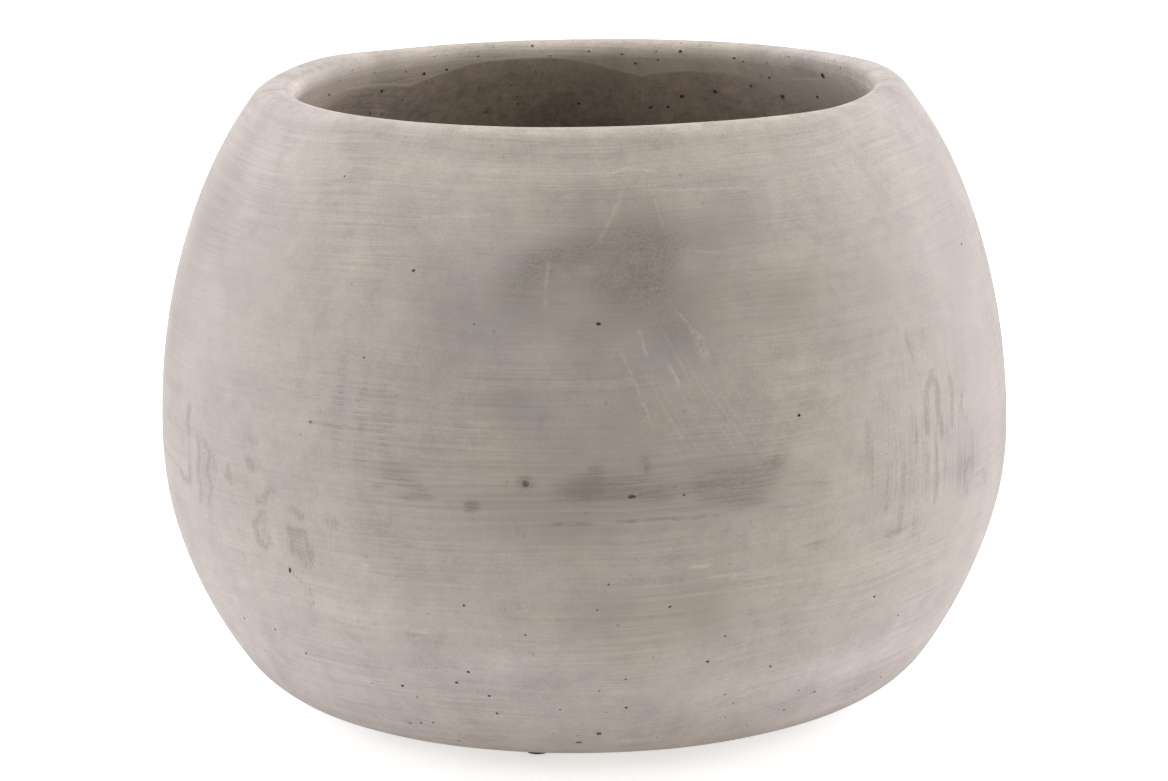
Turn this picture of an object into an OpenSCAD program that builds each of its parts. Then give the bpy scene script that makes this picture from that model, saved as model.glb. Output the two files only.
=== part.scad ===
// Concrete bowl planter: a round cast bowl with a full belly and a drawn-in mouth,
// a waterproof coat brushed on inside, and four stick-on rubber pads underneath.
// Sizes are in millimetres. The soles of the pads lie at z = 0, the bowl's axis is
// the Z axis, and the front of the planter faces -Y.

/* [Bowl outside] */
// Outside diameter at the belly, the widest point
belly_d = 300; // [285:1:330]
// Height of the concrete, from the flat underside to the top of the lip
bowl_h = 217; // [205:1:228]
// Height of the belly above the flat underside
belly_h = 101; // [92:1:108]
// Radius of the profile arc that runs from the belly up to the lip
shoulder_r = 197; // [165:1:260]
// Radius of the profile arc that runs from the belly down to the heel
flank_r = 143.5; // [125:0.5:170]
// Radius that rolls the flank under into the flat underside
heel_r = 42; // [25:1:55]

/* [Wall and floor] */
// Thickness of the wall, measured square to its surface
wall_t = 13; // [10:0.5:17]
// Thickness of the floor
floor_t = 18; // [12:0.5:24]
// Radius between the floor and the inner wall
inner_heel_r = 35; // [15:1:45]

/* [Lip] */
// Rounding of the lip's outer edge
lip_outer_r = 8.5; // [4:0.5:8.5]
// Rounding of the lip's inner edge
lip_inner_r = 4.5; // [2:0.5:4.5]

/* [Waterproof coat] */
// Thickness of the brushed coat
coat_t = 0.6; // [0.3:0.1:1.5]
// Depth of the coat's lowest edge points below the top of the lip
coat_drop = 14; // [10:0.5:40]
// Radius of the rounded end that each dab of the brush leaves on the wall
dab_r = 120; // [95:5:160]

/* [Foot pads] */
// Diameter of a rubber pad and of the adhesive disc that holds it
pad_d = 8; // [6:0.5:14]
// Thickness of a rubber pad
pad_t = 2.7; // [1:0.1:4]
// Rounding of a pad's lower edge
pad_edge_r = 0.4; // [0.1:0.1:0.8]
// Thickness of the adhesive disc
tape_t = 0.2; // [0.1:0.05:0.5]
// Bare ring of flat underside left outside the pads
pad_inset = 1; // [0.5:0.5:10]
// Direction of the front pad seen from above, where -90 is straight to the front
front_pad_dir = -102; // [-125:1:-65]

/* [Hidden] */
$fn = 144;

// Each dab of the coat's edge as [direction, half of the angle that it spans]
dabs = [
    [102, 25],
    [63, 16],
    [30, 19],
    [-8, 20],
    [-50, 24],
    [-97, 25],
    [-143, 23],
    [174, 22],
    [140, 15],
];
// Number of pads, a quarter turn apart
pad_n = 4;
// How far a cutting shape runs past what it cuts
over = 1;
// How far a rounding laps over the arc that it meets, so that the two outlines cross
blend_lap = 0.002;

belly_r = belly_d / 2;
lift = pad_t + tape_t;

// The horizontal half-width of a circle of radius r, at height dz from its centre
function reach(r, dz) = sqrt(r * r - dz * dz);
// The direction from point a to point b, in degrees
function direction(a, b) = atan2(b.y - a.y, b.x - a.x);

// Both arcs have their centre level with the belly, so they meet there without a kink
shoulder_c = [belly_r - shoulder_r, belly_h];
flank_c = [belly_r - flank_r, belly_h];

// The heel arc touches the flank from inside and the underside from above
heel_c = [flank_c.x + reach(flank_r - heel_r, belly_h - heel_r), heel_r];
inner_heel_c = [
    flank_c.x + reach(flank_r - wall_t - inner_heel_r, belly_h - floor_t - inner_heel_r),
    floor_t + inner_heel_r,
];

// The lip's two roundings touch the outer and the inner shoulder and the lip's flat top
lip_out = min(lip_outer_r, wall_t - lip_inner_r);
lip_outer_c = [
    shoulder_c.x + reach(shoulder_r - lip_out, bowl_h - lip_out - belly_h),
    bowl_h - lip_out,
];
lip_inner_c = [
    shoulder_c.x + reach(shoulder_r - wall_t + lip_inner_r, bowl_h - lip_inner_r - belly_h),
    bowl_h - lip_inner_r,
];

// Height of the coat's lowest edge points, and the inner wall's radius there
coat_edge_z = bowl_h - coat_drop;
coat_edge_r = shoulder_c.x + reach(shoulder_r - wall_t, coat_edge_z - belly_h);

// The pads stand just inside the edge of the flat underside
pad_ring_r = heel_c.x - pad_inset - pad_d / 2;

// Everything between two directions from the point c
module wedge(c, from, to) {
    far = 2 * belly_d;
    mid = (from + to) / 2;
    polygon([
        c,
        c + far * [cos(from), sin(from)],
        c + far * [cos(mid), sin(mid)],
        c + far * [cos(to), sin(to)],
    ]);
}

// Rounds a corner of its children: between the two directions only the disc stays
module round_corner(c, r, from, to) {
    difference() {
        children();
        difference() {
            wedge(c, from, to);
            translate(c) circle(r + blend_lap);
        }
    }
}

// What a disc holds to the right of the axis and between two heights
module disc_slice(c, r, z_from, z_to) {
    intersection() {
        translate(c) circle(r);
        translate([0, z_from]) square([belly_d, z_to - z_from]);
    }
}

// Half the bowl's outline, filled to the axis and rounded at the heel and the lip
module outer_profile() {
    round_corner(heel_c, heel_r, -90, direction(flank_c, heel_c))
        disc_slice(flank_c, flank_r, 0, belly_h);
    round_corner(lip_outer_c, lip_out, direction(shoulder_c, lip_outer_c), 90)
        disc_slice(shoulder_c, shoulder_r, belly_h, bowl_h);
}

// Half the hollow, open at the top, with a layer of thickness t laid on all its walls
module hollow_profile(t = 0) {
    round_corner(inner_heel_c, inner_heel_r - t, -90, direction(flank_c, inner_heel_c))
        disc_slice(flank_c, flank_r - wall_t - t, floor_t + t, belly_h);
    disc_slice(shoulder_c, shoulder_r - wall_t - t, belly_h, bowl_h + over);
    intersection() {
        translate([0, belly_h]) square([belly_d, bowl_h + over - belly_h]);
        difference() {
            wedge(lip_inner_c, 90, 180 + direction(shoulder_c, lip_inner_c));
            translate(lip_inner_c) circle(lip_inner_r + t + blend_lap);
        }
    }
}

// The volume that one dab of the brush covers, up to its rounded end
module dab(dir, half_span) {
    half_w = coat_edge_r * sin(half_span);
    rotate([0, 0, dir])
        translate([coat_edge_r / 2, 0, coat_edge_z - reach(dab_r, half_w)])
            rotate([0, 90, 0])
                cylinder(r = dab_r, h = coat_edge_r / 2 + wall_t);
}

// The cast body of the planter, with a lip rounded by hand
module concrete_bowl() {
    color([0.70, 0.68, 0.65])
        translate([0, 0, lift])
            rotate_extrude()
                difference() {
                    outer_profile();
                    hollow_profile();
                }
}

// The waterproof coat on the floor and wall, ending in a row of rounded brush dabs
module sealer_coat() {
    color([0.45, 0.43, 0.40])
        translate([0, 0, lift])
            intersection() {
                rotate_extrude()
                    difference() {
                        hollow_profile();
                        hollow_profile(coat_t);
                    }
                union() {
                    cylinder(r = belly_r, h = coat_edge_z);
                    for (d = dabs) dab(d[0], d[1]);
                }
            }
}

// Carries its children to the place of pad number i, counted from the front
module at_pad(i) {
    rotate([0, 0, front_pad_dir + i * 360 / pad_n])
        translate([pad_ring_r, 0, 0])
            children();
}

// A die-cut rubber disc with its lower edge rounded
module foot_pad(i) {
    sole_r = pad_d / 2 - pad_edge_r;
    color([0.07, 0.07, 0.07])
        at_pad(i) rotate_extrude()
            union() {
                square([sole_r, pad_t]);
                translate([0, pad_edge_r]) square([pad_d / 2, pad_t - pad_edge_r]);
                translate([sole_r, pad_edge_r]) circle(pad_edge_r);
            }
}

// The adhesive disc between a pad and the underside of the bowl
module pad_adhesive(i) {
    color([0.80, 0.78, 0.70])
        at_pad(i) translate([0, 0, pad_t]) cylinder(d = pad_d, h = tape_t);
}

concrete_bowl();
sealer_coat();
foot_pad(0);  // foot_pad_front
foot_pad(1);  // foot_pad_right
foot_pad(2);  // foot_pad_back
foot_pad(3);  // foot_pad_left
pad_adhesive(0);  // pad_adhesive_front
pad_adhesive(1);  // pad_adhesive_right
pad_adhesive(2);  // pad_adhesive_back
pad_adhesive(3);  // pad_adhesive_left
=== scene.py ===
# %% [markdown]
# # A hand-cast concrete bowl planter
#
# The planter is one casting of fine cement mortar, brushed over with thin cement slip while it
# was damp, and sealed on the inside with a coat that a brush laid on in dabs. Four small rubber
# pads are stuck below it. The packed model is the fixed frame: it says where each piece is and
# how large it is. This script gives each piece the surface that the hand and the brush left.

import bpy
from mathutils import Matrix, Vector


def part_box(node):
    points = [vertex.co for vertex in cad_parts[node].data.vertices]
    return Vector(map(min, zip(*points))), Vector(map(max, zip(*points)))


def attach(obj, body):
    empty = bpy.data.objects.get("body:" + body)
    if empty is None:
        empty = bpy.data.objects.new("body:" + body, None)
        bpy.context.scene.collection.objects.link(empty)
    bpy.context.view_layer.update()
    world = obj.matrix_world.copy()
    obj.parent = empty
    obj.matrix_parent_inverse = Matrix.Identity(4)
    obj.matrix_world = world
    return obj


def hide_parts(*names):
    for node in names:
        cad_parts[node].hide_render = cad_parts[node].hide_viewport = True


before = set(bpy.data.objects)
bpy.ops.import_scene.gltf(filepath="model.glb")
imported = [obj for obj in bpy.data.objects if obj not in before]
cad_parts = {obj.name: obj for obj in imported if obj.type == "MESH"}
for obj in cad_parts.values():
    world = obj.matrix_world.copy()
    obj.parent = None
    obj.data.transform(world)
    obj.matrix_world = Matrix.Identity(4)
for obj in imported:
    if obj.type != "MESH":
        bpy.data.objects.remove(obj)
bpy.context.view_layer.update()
print("nodes:", sorted(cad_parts))

# %% Blender's own modules, and the unit
import math
import random

import bpy
import numpy as np
from mathutils import Quaternion, Vector

MM = 0.001
TURN = 2 * math.pi
print("Blender", bpy.app.version_string)

# %% [markdown]
# ## The camera
#
# A photograph's viewpoint can be found by fitting the outline of a known shape to it. Here a
# long lens looks a little down on the bowl from the front, so that the mouth shows as a slim
# ellipse. The camera is rolled by less than a degree, because the bowl leans a little in view.

# %% Camera
PHOTO_WIDTH_PX = 1168
FOCAL_LENGTH_PX = 4499
SENSOR_MM = 36
CAMERA_DISTANCE = 1600 * MM
CAMERA_ELEVATION = math.radians(12.2)
CAMERA_ROLL = math.radians(-0.79)
CAMERA_TARGET = Vector((0, 0, 108.5)) * MM

camera = bpy.data.objects.new("camera", bpy.data.cameras.new("camera"))
bpy.context.scene.collection.objects.link(camera)
camera.data.sensor_width = SENSOR_MM
camera.data.lens = FOCAL_LENGTH_PX / PHOTO_WIDTH_PX * SENSOR_MM
backwards = Vector((0, -math.cos(CAMERA_ELEVATION), math.sin(CAMERA_ELEVATION)))
camera.location = CAMERA_TARGET + CAMERA_DISTANCE * backwards
camera.rotation_mode = "QUATERNION"
look = (-backwards).to_track_quat("-Z", "Y")
camera.rotation_quaternion = look @ Quaternion((0, 0, 1), CAMERA_ROLL)
bpy.context.scene.camera = camera
print("lens in mm:", round(camera.data.lens, 1))

# %% [markdown]
# ## The profile
#
# A thrown or cast bowl is a body of revolution: one outline, turned about an axis. The outline
# could be drawn as many points, but a mould maker draws it with a few arcs that run into each
# other without a kink. The same arcs are used here, from the middle of the underside, up the
# outside, over the lip, down the inner wall and back to the middle of the floor.

# %% Sizes of the casting
belly_r = 150 * MM
belly_z = 101 * MM
bowl_h = 217 * MM
wall_t = 13 * MM
floor_t = 18 * MM
shoulder_r = 197 * MM
flank_r = 143.5 * MM
heel_r = 42 * MM
inner_heel_r = 35 * MM
lip_outer_r = 8.5 * MM
lip_inner_r = 4.5 * MM
# Heights in this script are measured from a line this far below the concrete's underside. The
# pads lift the bowl a little higher than that, by "standing".
foot_z = 1.7 * MM
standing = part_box("concrete_bowl")[0].z - foot_z
print("the underside of the concrete is", round((foot_z + standing) / MM, 2), "mm above the floor")


# %% Centres of the arcs
def reach(radius, height):
    """Half the width of a circle at a height from its centre."""
    return math.sqrt(radius * radius - height * height)


def bearing(start, end):
    """Direction from one point of the profile to another."""
    return math.atan2(end[1] - start[1], end[0] - start[0])


def tangent_centre(main_c, radius, height):
    """Centre, at a height, of a rounding that touches an arc this far from the arc's centre."""
    return (main_c[0] + reach(radius, height - belly_z), height)


shoulder_c = (belly_r - shoulder_r, belly_z)
flank_c = (belly_r - flank_r, belly_z)
heel_c = tangent_centre(flank_c, flank_r - heel_r, heel_r)
inner_heel_c = tangent_centre(flank_c, flank_r - wall_t - inner_heel_r, floor_t + inner_heel_r)
lip_outer_c = tangent_centre(shoulder_c, shoulder_r - lip_outer_r, bowl_h - lip_outer_r)
lip_inner_c = tangent_centre(shoulder_c, shoulder_r - wall_t + lip_inner_r, bowl_h - lip_inner_r)
print("the mouth is", round((lip_inner_c[0] - lip_inner_r) * 2 / MM), "mm wide")

# %% Trace the profile
ARC_STEP = 0.1 * MM


def trace_arc(centre, radius, start, end, facing=1):
    """Points of an arc as columns of radius, height and the outward direction there."""
    angle = np.linspace(start, end, max(3, round(abs(end - start) * radius / ARC_STEP)))
    across, up = np.cos(angle), np.sin(angle)
    places = [centre[0] + radius * across, centre[1] + radius * up]
    return np.array(places + [facing * across, facing * up])


def trace_line(start, end, facing):
    """The two ends of a level stretch, in the same columns."""
    return np.array([[start[0], end[0]], [start[1], end[1]], [0, 0], [facing, facing]])


print("an arc has a point every", ARC_STEP / MM, "mm")

# %% Stretches of the profile
quarter = math.pi / 2
heel_bearing = bearing(flank_c, heel_c)
lip_outer_bearing = bearing(shoulder_c, lip_outer_c)
lip_inner_bearing = bearing(shoulder_c, lip_inner_c)
inner_heel_bearing = bearing(flank_c, inner_heel_c)
stretches = {
    "underside": trace_line((0, 0), (heel_c[0], 0), -1),
    "heel": trace_arc(heel_c, heel_r, -quarter, heel_bearing),
    "flank": trace_arc(flank_c, flank_r, heel_bearing, 0),
    "shoulder": trace_arc(shoulder_c, shoulder_r, 0, lip_outer_bearing),
    "lip outside": trace_arc(lip_outer_c, lip_outer_r, lip_outer_bearing, quarter),
    "lip top": trace_line((lip_outer_c[0], bowl_h), (lip_inner_c[0], bowl_h), 1),
    "lip inside": trace_arc(lip_inner_c, lip_inner_r, quarter, math.pi + lip_inner_bearing),
    "inner shoulder": trace_arc(shoulder_c, shoulder_r - wall_t, lip_inner_bearing, 0, -1),
    "inner flank": trace_arc(flank_c, flank_r - wall_t, 0, inner_heel_bearing, -1),
    "inner heel": trace_arc(inner_heel_c, inner_heel_r, inner_heel_bearing, -quarter, -1),
    "floor": trace_line((inner_heel_c[0], floor_t), (0, floor_t), 1),
}
profile = np.hstack(list(stretches.values()))
profile[1] += foot_z
steps = np.hypot(np.diff(profile[0]), np.diff(profile[1]))
along = np.concatenate([[0], np.cumsum(steps)])
ends = dict(zip(stretches, along[np.cumsum([s.shape[1] for s in stretches.values()]) - 1]))
for name, end in ends.items():
    print(f"{name} ends {end / MM:.1f} mm along the profile")


# %% Heights on the outside and the inside
def outside_at(height):
    """How far along the profile a height lies on the outside."""
    outside = along <= ends["lip top"]
    return np.interp(height, profile[1][outside], along[outside])


def inside_at(height):
    """How far along the profile a height lies on the inner wall."""
    inside = (along >= ends["lip top"]) & (along <= ends["inner heel"])
    return np.interp(-height, -profile[1][inside], along[inside])


top_z = foot_z + bowl_h
print("lip top at", round(top_z / MM, 1), "mm; belly", round(outside_at(foot_z + belly_z) / MM, 1))

# %% [markdown]
# ## The hand's unevenness
#
# A mould is never quite true, and a lip that is rubbed down by hand is less so. Turning the
# outline exactly would give a machine-made bowl. Instead, each point is pushed in or out by a
# few tenths of a millimetre: broad hollows and swellings where the real outline leaves the true
# curve, and slow waves everywhere. Only a high spot of the lip, at the back left, stands past the
# frame's own box, by a millimetre.

# %% Broad swellings and hollows
# Each is (azimuth in degrees, height in mm, spread in degrees, spread in mm, push in mm).
# Azimuth -90 is the front, 0 the right, 90 the back and 180 the left.
swellings = [
    (-4, 195, 38, 30, 0.9), (176, 195, 38, 30, 0.5), (0, 118, 50, 45, -0.5),
    (180, 118, 50, 45, -0.5), (-150, 45, 40, 30, 0.4), (-30, 35, 40, 25, -0.5),
    (180, 75, 40, 25, 0.6), (0, 80, 35, 22, 0.8), (60, 60, 45, 35, -0.3), (120, 150, 45, 40, -0.3),
]
# Slow waves all over: (size, how many round the bowl, climb per metre of height, start). They are
# lowered by most of what they can rise, so that they hardly leave the frame's box.
slow_waves = [(1, 3, 25, 0.7), (1, 5, -40, 2.1), (0.6, 9, 70, 0), (0.5, 14, -90, 0)]
wave_size, lowered_by = 0.05 * MM, 2.2
print(len(swellings), "swellings and hollows,", len(slow_waves), "waves")

# %% The lip, rubbed by hand
# Its top is lower in places: (azimuth in degrees, spread in degrees, drop in mm).
lip_dips = [(85, 22, 0.3), (-60, 40, 0.2), (-34, 20, 1.2), (172, 14, 0.5)]
# It also ripples a little: (size in mm, how many round the bowl, start).
lip_ripples = [(0.03, 7, 1.3), (0.02, 17, 0)]
lip_reach = 22 * MM
# It bulges outward here, and its inner edge is rubbed rounder: the same three numbers.
lip_bulges = [(147, 14, 1.3), (18, 12, 0.5)]
lip_bulge_at, lip_bulge_w = ends["shoulder"] + 5 * MM, 9 * MM
inner_rubs = [(0, 400, 1.3), (-178, 28, -1.9), (5, 38, 0.8)]
inner_rub_at, inner_rub_w = (ends["lip top"] + ends["lip inside"]) / 2 + 2 * MM, 5.5 * MM
print("the lip dips by up to", max(drop for _, _, drop in lip_dips), "mm")


# %% Soft hills
def turned_by(azimuth, centre):
    """Signed angle from a direction in degrees, in degrees, the short way round."""
    return (np.degrees(azimuth) - centre + 180) % 360 - 180


def bell(distance):
    """A soft hill: 1 in the middle, near 0 two spreads away."""
    return np.exp(-(distance**2))


def round_about(azimuth, hills):
    """Adds up (azimuth in degrees, spread in degrees, size in mm) hills round the bowl."""
    return sum(
        size * MM * bell(turned_by(azimuth, centre) / spread) for centre, spread, size in hills
    )


print("a hill is", round(float(bell(1)), 2), "high at one spread from its middle")


# %% Push the surface in and out, and the lip down
def push_at(azimuth, distance):
    """How far the surface is pushed out along its normal, in metres."""
    height = np.interp(distance, along, profile[1])
    outside = np.clip((ends["lip top"] - distance) / lip_reach, 0, 1)
    pushed = 0
    for centre, middle, spread, rise, amount in swellings:
        near = bell(turned_by(azimuth, centre) / spread) * bell((height / MM - middle) / rise)
        pushed = pushed + amount * MM * near * outside
    rubbed = round_about(azimuth, inner_rubs) * bell((distance - inner_rub_at) / inner_rub_w)
    bulged = round_about(azimuth, lip_bulges) * bell((distance - lip_bulge_at) / lip_bulge_w)
    waves = sum(
        size * np.sin(turns * azimuth + climb * height + start)
        for size, turns, climb, start in slow_waves
    )
    return pushed - rubbed + bulged + wave_size * (waves - lowered_by) * outside


def drop_at(azimuth, distance):
    """How far the lip has been rubbed down, in metres."""
    ripple = sum(s * MM * (1 + np.sin(turns * azimuth + start)) for s, turns, start in lip_ripples)
    near_lip = bell((distance - ends["lip top"]) / lip_reach)
    return (round_about(azimuth, lip_dips) + ripple) * near_lip


sample = push_at(np.radians(np.arange(-180, 180)), outside_at(0.12)) / MM
print("push at the belly from", round(sample.min(), 2), "to", round(sample.max(), 2), "mm")


# %% A point on the casting
def skin_point(azimuth, distance, lift=0.0):
    """The place on the casting at an azimuth and a distance along the profile."""
    azimuth, distance, lift = np.broadcast_arrays(azimuth, distance, lift)
    radius, height, out, up = (np.interp(distance, along, column) for column in profile)
    raised = push_at(azimuth, distance) + lift
    radius = radius + raised * out
    height = standing + height + raised * up - drop_at(azimuth, distance)
    return np.stack([radius * np.cos(azimuth), radius * np.sin(azimuth), height], axis=-1)


front_lip = skin_point(-quarter, ends["lip top"]) / MM
print("the front of the lip is at", [round(float(c), 1) for c in front_lip], "mm")

# %% [markdown]
# ## A skin with air holes
#
# Air caught against the mould leaves small round holes. A bump map could fake them, but a hole
# has a rim, a wall and a dark bottom that holds in any light, so each one is cut into the mesh.
# The skin is a grid of rows and columns. Where a hole goes, a block of grid faces is left out,
# and rings of vertices step down from the block's border into the hole.


# %% Keep values on a mesh, and space rows out
def store(mesh, name, values):
    """Keeps a number or a vector for each vertex of a mesh."""
    kind, field = ("FLOAT_VECTOR", "vector") if values.ndim == 2 else ("FLOAT", "value")
    attribute = mesh.attributes.new(name, kind, "POINT")
    attribute.data.foreach_set(field, values.astype(np.float32).ravel())


def spaced(stops):
    """Distances from (start, end, spacing) stretches that follow each other."""
    marks = []
    for start, end, spacing in stops:
        count = max(1, round((end - start) / spacing))
        marks.extend(np.linspace(start, end, count, endpoint=False))
    return np.array(marks + [stops[-1][1]])


print("1 mm at a spacing of 0.3 mm:", spaced([(0, 1, 0.3)]).round(2))

# %% A hole's block and rings
# Each ring is (share of the hole's radius, share of its depth, how much painted shade it gets).
HOLE_RINGS = [(1.0, 0.0, 0.3), (0.9, 0.5, 0.9), (0.55, 0.9, 1.0)]
# A hole this deep or deeper gets its full painted shade.
DARK_DEPTH = 0.9 * MM
# In a thin skin no hole goes deeper than this share of its thickness.
DEEPEST_SHARE = 0.9
# The block of faces that makes way for a hole reaches this many of its widths to each side.
HOLE_ROOM = 0.75
# Its radius varies between these shares round the rim.
RIM_SHARES = (0.88, 1.12)


def border_of(rows, columns, width):
    """Grid vertices round a block, in order, as (row, column)."""
    (low, high), (left, right) = rows, columns
    loop = [(low, c) for c in range(left, right)]
    loop += [(r, right) for r in range(low, high)]
    loop += [(high, c) for c in range(right, left, -1)]
    loop += [(r, left) for r in range(high, low, -1)]
    return [(r, c % width) for r, c in loop]


print("a hole has", len(HOLE_RINGS), "rings and a middle")


# %% A skin that holes can be cut into
class Skin:
    """Vertices, faces and holes of a turned surface that is laid out as a grid."""

    def __init__(self, rows, columns, place, seed, thickness=None):
        self.rows, self.columns, self.place = rows, columns, place
        self.thickness = thickness
        self.random = random.Random(seed)
        self.azimuth = list(np.tile(columns, len(rows)))
        self.distance = list(np.repeat(rows, len(columns)))
        self.lift = [0.0] * len(self.azimuth)
        self.hollow = [0.0] * len(self.azimuth)
        self.faces, self.rims = [], []
        self.taken = np.zeros((len(rows) - 1, len(columns)), bool)

    def add(self, *values):
        """Adds one vertex, by its azimuth, distance, lift and painted hole shade, and returns its
        number.
        """
        for column, value in zip((self.azimuth, self.distance, self.lift, self.hollow), values):
            column.append(value)
        return len(self.azimuth) - 1

    def clear(self, azimuth, distance, room, turn):
        """Clears a block of faces and returns its border, or an empty one if there is no room."""
        low = int(np.searchsorted(self.rows, distance - room, "right")) - 1
        high = int(np.searchsorted(self.rows, distance + room))
        left = int(np.searchsorted(self.columns, azimuth - turn, "right")) - 1
        right = int(np.searchsorted(self.columns, azimuth + turn))
        if low < 0 or high >= len(self.rows) or left < 0 or right >= len(self.columns):
            return []
        if self.taken[low:high, left:right].any():
            return []
        self.taken[low:high, left:right] = True
        return border_of((low, high), (left, right), len(self.columns))

    def hole(self, azimuth, distance, width, depth, stretch=1.0, tilt=0.0):
        """Cuts an air hole. False if it would meet another one or the grid's end."""
        around = float(np.hypot(*self.place(azimuth, distance)[:2]))
        room = HOLE_ROOM * width * max(stretch, 1)
        loop = self.clear(azimuth, distance, room, room / around)
        if not loop:
            return False
        outer = [r * len(self.columns) + c for r, c in loop]
        sides = []
        for r, c in loop:
            side = math.atan2(self.rows[r] - distance, (self.columns[c] - azimuth) * around)
            sides.append((side, width / 2 * self.random.uniform(*RIM_SHARES)))
        turn, slide = math.cos(tilt), math.sin(tilt)
        # The rings of a hole carry painted shade, in full for a hole as deep as DARK_DEPTH or
        # deeper.
        dark = min(1, depth / DARK_DEPTH)
        if self.thickness:
            depth = min(depth, DEEPEST_SHARE * float(self.thickness(azimuth, distance)))
        for share, fall, hollow in HOLE_RINGS:
            ring = []
            shown = hollow * dark
            for side, radius in sides:
                x = radius * share * math.cos(side) * stretch
                y = radius * share * math.sin(side)
                x, y = x * turn - y * slide, x * slide + y * turn
                ring.append(self.add(azimuth + x / around, distance + y, -fall * depth, shown))
            self.join(outer, ring)
            if share == 1.0:
                self.rims.append(ring)
            outer = ring
        middle = self.add(azimuth, distance, -depth, shown)
        for k, corner in enumerate(outer):
            self.faces.append((corner, outer[(k + 1) % len(outer)], middle))
        return True

    def join(self, outer, inner):
        """Faces between two rings of as many vertices."""
        for k in range(len(outer)):
            n = (k + 1) % len(outer)
            self.faces.append((outer[k], outer[n], inner[n], inner[k]))

    def close(self, row, distance, lift=0.0):
        """Closes the grid at the axis with a fan from its first or last row."""
        middle = self.add(0.0, distance, lift, 0.0)
        count = len(self.columns)
        for c in range(count):
            pair = (row * count + c, row * count + (c + 1) % count)
            self.faces.append((*(pair if row else pair[::-1]), middle))

    def fill(self):
        """Makes the grid's faces where no hole was cut."""
        count = len(self.columns)
        for r, c in zip(*np.nonzero(~self.taken)):
            here, beside = r * count + c, r * count + (c + 1) % count
            self.faces.append((here, beside, beside + count, here + count))

    def mesh(self, name):
        """Turns it all into a Blender object with its places stored as attributes."""
        azimuth, distance, lift = (np.array(a) for a in (self.azimuth, self.distance, self.lift))
        points = self.place(azimuth, distance, lift)
        made = bpy.data.meshes.new(name)
        made.from_pydata(points.tolist(), [], [tuple(int(v) for v in f) for f in self.faces])
        made.polygons.foreach_set("use_smooth", [True] * len(made.polygons))
        sharp = {frozenset((ring[k - 1], ring[k])) for ring in self.rims for k in range(len(ring))}
        for edge in made.edges:
            if frozenset(edge.vertices) in sharp:
                edge.use_edge_sharp = True
        across, deep = belly_r * np.cos(azimuth), belly_r * np.sin(azimuth)
        store(made, "wrapped", np.stack([across, deep, distance], axis=-1))
        store(made, "flat", np.stack([belly_r * azimuth, distance, 0 * distance], axis=-1))
        store(made, "hollow", np.array(self.hollow))
        piece = bpy.data.objects.new(name, made)
        bpy.context.scene.collection.objects.link(piece)
        return piece, azimuth, distance


print("a skin can", [name for name in vars(Skin) if not name.startswith("_")])

# %% Grid of the bowl
# The columns stand closer in the front half, which the camera sees.
FRONT_COLUMN, BACK_COLUMN = 1.84 * MM / belly_r, 3.2 * MM / belly_r
columns = spaced([(-math.pi, 0, FRONT_COLUMN), (0, math.pi - BACK_COLUMN, BACK_COLUMN)])
bowl_rows = spaced(
    [
        (6 * MM, ends["underside"] - 8 * MM, 9 * MM),
        (ends["underside"] - 8 * MM, ends["underside"], 2 * MM),
        (ends["underside"], ends["shoulder"], 1.75 * MM),
        (ends["shoulder"], ends["lip top"] - 1 * MM, 1 * MM),
        (ends["lip top"] - 1 * MM, ends["lip top"] + 2.5 * MM, 0.55 * MM),
        (ends["lip top"] + 2.5 * MM, ends["lip inside"], 1 * MM),
        (ends["lip inside"], ends["lip inside"] + 22 * MM, 2 * MM),
        (ends["lip inside"] + 22 * MM, ends["inner flank"], 12 * MM),
        (ends["inner flank"], ends["inner heel"], 4.5 * MM),
        (ends["inner heel"], ends["floor"] - 6 * MM, 16 * MM),
    ]
)
bowl = Skin(bowl_rows, columns, skin_point, seed=11)
print("grid:", len(bowl_rows), "rows of", len(columns))

# %% Air holes of the bowl
# The larger ones: azimuth in degrees, height, width and depth in mm, how many times wider than
# high, and for one of them its tilt in degrees.
large_holes = [
    (-97.4, 108.9, 2.3, 0.55, 1.1), (-84.3, 104.3, 1.5, 0.6, 1.9),
    (-132.5, 70.7, 2.2, 1.5, 0.5, -20), (-61.8, 126.4, 1.2, 0.9, 1.0),
    (-88.0, 159.8, 1.1, 0.7, 1.5), (-113.8, 175.0, 1.0, 0.8, 1.2), (-127.3, 123.6, 1.1, 0.4, 1.5),
    (-148.3, 44.8, 1.1, 0.9, 1.0), (-88.4, 16.1, 1.5, 1.2, 1.3), (-91.6, 11.8, 1.4, 1.1, 1.6),
    (-118.0, 32.5, 1.1, 1.0, 1.2), (-106.9, 40.8, 1.0, 0.9, 1.2), (-109.0, 36.1, 1.0, 0.9, 1.3),
    (-104.5, 31.5, 1.0, 0.9, 1.2), (-103.9, 24.3, 1.0, 0.9, 1.1), (-112.7, 9.5, 1.2, 1.0, 1.2),
    (-73.2, 43.3, 1.1, 0.9, 1.2), (-47.5, 57.9, 1.1, 0.9, 1.0), (-35.1, 19.9, 1.1, 0.9, 1.1),
]
# The side that the camera doesn't see has some at random. Where no depth is given, a hole is this
# many times as deep as it is wide.
USUAL_DEPTH = 0.8
unseen = random.Random(8)
for _ in range(16):
    azimuth, height = unseen.uniform(10, 170), unseen.uniform(8, 190)
    width, stretch = unseen.uniform(0.9, 2.0), unseen.uniform(1.0, 1.6)
    large_holes.append((azimuth, height, width, USUAL_DEPTH * width, stretch))
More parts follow.
